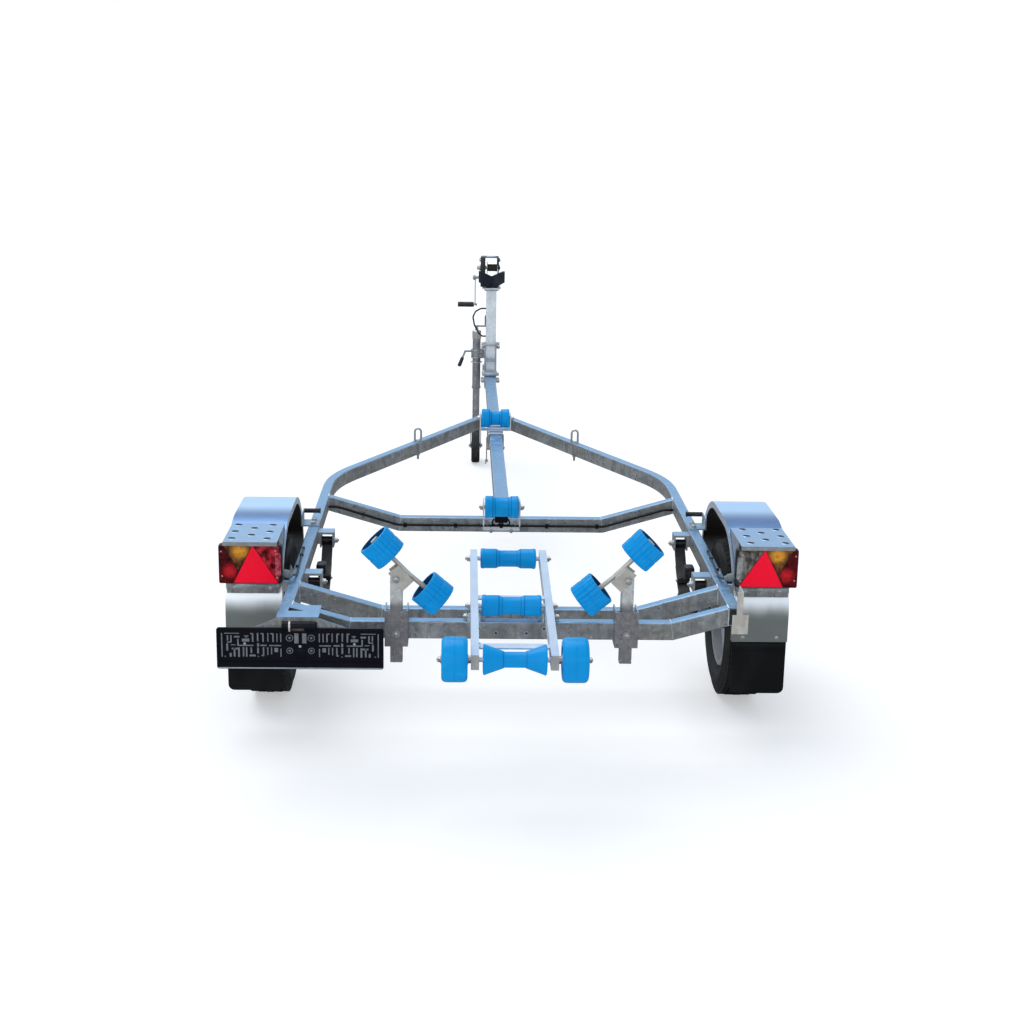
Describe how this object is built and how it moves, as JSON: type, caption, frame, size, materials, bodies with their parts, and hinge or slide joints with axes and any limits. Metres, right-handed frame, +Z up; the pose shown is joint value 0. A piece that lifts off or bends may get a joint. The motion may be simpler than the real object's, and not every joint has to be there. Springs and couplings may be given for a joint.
{
  "type": "boat trailer with roller cradle",
  "caption": "Galvanised roller boat trailer: V frame, leaf-sprung axle, tilting keel cradle, rocking side rollers, winch post and jockey wheel.",
  "frame": {"origin": "on the ground, under the middle of the trailer's bounding box", "axes": "+Y forward to the coupling, +X to the right of travel, +Z up"},
  "size_m": [1.984, 5.334, 1.245],
  "materials": {
    "galvanised_steel": "hot-dip zinc, dull",
    "zinc_bracket": "pale yellow zinc",
    "rim_paint": "silver paint",
    "hub_steel": "black",
    "spring_steel": "black paint",
    "tyre_rubber": "matte",
    "blue_roller": "polyurethane, satin",
    "black_rubber": "matte",
    "jockey_wheel_plastic": "matte",
    "lamp_red": "clear lens",
    "black_plastic": "grained",
    "winch_paint": "black paint"
  },
  "bodies": {
    "frame": {"side_rail_left": "galvanised_steel", "side_rail_right": "galvanised_steel", "drawbar": "galvanised_steel", "front_cross_member": "galvanised_steel", "middle_cross_member": "galvanised_steel", "rear_cross_member": "galvanised_steel", "spring_hangers": "galvanised_steel", "axle": "galvanised_steel", "fender_left": "galvanised_steel", "fender_right": "galvanised_steel", "lamp_brackets": "galvanised_steel", "fender_brackets": "galvanised_steel", "plate_bracket": "galvanised_steel", "corner_bracket": "galvanised_steel", "nose_roller_bracket": "galvanised_steel", "keel_roller_bracket": "galvanised_steel", "cradle_lugs": "galvanised_steel", "roller_posts": "galvanised_steel", "winch_post": "galvanised_steel", "post_bracket": "galvanised_steel", "jockey_tube": "galvanised_steel", "jockey_clamp": "galvanised_steel", "coupling": "galvanised_steel", "lashing_eyes": "galvanised_steel", "leaf_springs": "spring_steel", "mudflaps": "black_rubber", "bow_stop": "black_rubber", "front_cable": "black_rubber", "post_cable": "black_rubber", "tail_lamps": "lamp_red", "plate_holder": "black_plastic", "plate_lamp": "black_plastic", "winch_frame": "winch_paint"},
    "wheel_left": {"tyre_left": "tyre_rubber", "rim_left": "rim_paint", "hub_left": "hub_steel"},
    "wheel_right": {"tyre_right": "tyre_rubber", "rim_right": "rim_paint", "hub_right": "hub_steel"},
    "nose_roller_body": {"nose_roller": "blue_roller"},
    "keel_roller_body": {"keel_roller": "blue_roller"},
    "cradle": {"cradle_frame": "galvanised_steel"},
    "cradle_front_roller_body": {"cradle_front_roller": "blue_roller"},
    "cradle_middle_roller_body": {"cradle_middle_roller": "blue_roller"},
    "cradle_bow_roller_body": {"cradle_bow_roller": "blue_roller"},
    "cradle_wheel_left_body": {"cradle_wheel_left": "blue_roller"},
    "cradle_wheel_right_body": {"cradle_wheel_right": "blue_roller"},
    "roller_pair_left": {"roller_arm_left": "zinc_bracket"},
    "roller_pair_right": {"roller_arm_right": "zinc_bracket"},
    "drum_outer_left": {"drum_roller_outer_left": "blue_roller"},
    "drum_inner_left": {"drum_roller_inner_left": "blue_roller"},
    "drum_outer_right": {"drum_roller_outer_right": "blue_roller"},
    "drum_inner_right": {"drum_roller_inner_right": "blue_roller"},
    "winch_drum_body": {"winch_drum": "winch_paint"},
    "winch_crank_body": {"winch_crank": "winch_paint"},
    "jockey_slide_body": {"jockey_inner_tube": "galvanised_steel"},
    "jockey_fork_body": {"jockey_fork": "galvanised_steel"},
    "jockey_wheel_body": {"jockey_wheel": "jockey_wheel_plastic"}
  },
  "joints": [
    {"name": "wheel_left_spin", "type": "hinge", "parent": "frame", "child": "wheel_left", "pos_m": [-0.866, -1.523, 0.292], "axis": [1, 0, 0], "continuous": true},
    {"name": "wheel_right_spin", "type": "hinge", "parent": "frame", "child": "wheel_right", "pos_m": [0.866, -1.523, 0.292], "axis": [1, 0, 0], "continuous": true},
    {"name": "nose_roller_spin", "type": "hinge", "parent": "frame", "child": "nose_roller_body", "pos_m": [0, 0.627, 0.608], "axis": [1, 0, 0], "continuous": true},
    {"name": "keel_roller_spin", "type": "hinge", "parent": "frame", "child": "keel_roller_body", "pos_m": [0, -0.823, 0.526], "axis": [1, 0, 0], "continuous": true},
    {"name": "cradle_tilt", "type": "hinge", "parent": "frame", "child": "cradle", "pos_m": [0, -2.195, 0.509], "axis": [-1, 0, 0], "range_deg": [0, 14]},
    {"name": "cradle_front_roller_spin", "type": "hinge", "parent": "cradle", "child": "cradle_front_roller_body", "pos_m": [0, -1.768, 0.583], "axis": [1, 0, 0], "continuous": true},
    {"name": "cradle_middle_roller_spin", "type": "hinge", "parent": "cradle", "child": "cradle_middle_roller_body", "pos_m": [0, -2.199, 0.54845], "axis": [1, 0, 0], "continuous": true},
    {"name": "cradle_bow_roller_spin", "type": "hinge", "parent": "cradle", "child": "cradle_bow_roller_body", "pos_m": [0, -2.597, 0.505], "axis": [1, 0, 0], "continuous": true},
    {"name": "cradle_wheel_left_spin", "type": "hinge", "parent": "cradle", "child": "cradle_wheel_left_body", "pos_m": [-0.1845, -2.597, 0.505], "axis": [1, 0, 0], "continuous": true},
    {"name": "cradle_wheel_right_spin", "type": "hinge", "parent": "cradle", "child": "cradle_wheel_right_body", "pos_m": [0.1845, -2.597, 0.505], "axis": [1, 0, 0], "continuous": true},
    {"name": "roller_pair_left_rock", "type": "hinge", "parent": "frame", "child": "roller_pair_left", "pos_m": [-0.376, -2.235, 0.654], "axis": [0, -1, 0], "range_deg": [0, 60]},
    {"name": "drum_outer_left_spin", "type": "hinge", "parent": "roller_pair_left", "child": "drum_outer_left", "pos_m": [-0.422, -2.235, 0.753], "axis": [0.7031, 0, -0.7111], "continuous": true},
    {"name": "drum_inner_left_spin", "type": "hinge", "parent": "roller_pair_left", "child": "drum_inner_left", "pos_m": [-0.258, -2.235, 0.6], "axis": [-0.7649, 0, 0.6441], "continuous": true},
    {"name": "roller_pair_right_rock", "type": "hinge", "parent": "frame", "child": "roller_pair_right", "pos_m": [0.376, -2.235, 0.654], "axis": [0, 1, 0], "range_deg": [0, 60]},
    {"name": "drum_outer_right_spin", "type": "hinge", "parent": "roller_pair_right", "child": "drum_outer_right", "pos_m": [0.422, -2.235, 0.753], "axis": [-0.7031, 0, -0.7111], "continuous": true},
    {"name": "drum_inner_right_spin", "type": "hinge", "parent": "roller_pair_right", "child": "drum_inner_right", "pos_m": [0.258, -2.235, 0.6], "axis": [0.7649, 0, 0.6441], "continuous": true},
    {"name": "winch_drum_spin", "type": "hinge", "parent": "frame", "child": "winch_drum_body", "pos_m": [0, 2.285, 1.18], "axis": [1, 0, 0], "continuous": true},
    {"name": "winch_crank_spin", "type": "hinge", "parent": "frame", "child": "winch_crank_body", "pos_m": [0, 2.285, 1.122], "axis": [1, 0, 0], "continuous": true},
    {"name": "jockey_raise", "type": "slide", "parent": "frame", "child": "jockey_slide_body", "axis": [0, 0, 1], "range_m": [-0.05, 0.19]},
    {"name": "jockey_swivel", "type": "hinge", "parent": "jockey_slide_body", "child": "jockey_fork_body", "pos_m": [-0.082, 2.327, 0.2], "axis": [0, 0, 1], "continuous": true},
    {"name": "jockey_wheel_spin", "type": "hinge", "parent": "jockey_fork_body", "child": "jockey_wheel_body", "pos_m": [-0.082, 2.295, 0.105], "axis": [1, 0, 0], "continuous": true}
  ],
  "couplings": [
    {"joint": "winch_crank_spin", "follows": "winch_drum_spin", "ratio": -2.8}
  ]
}
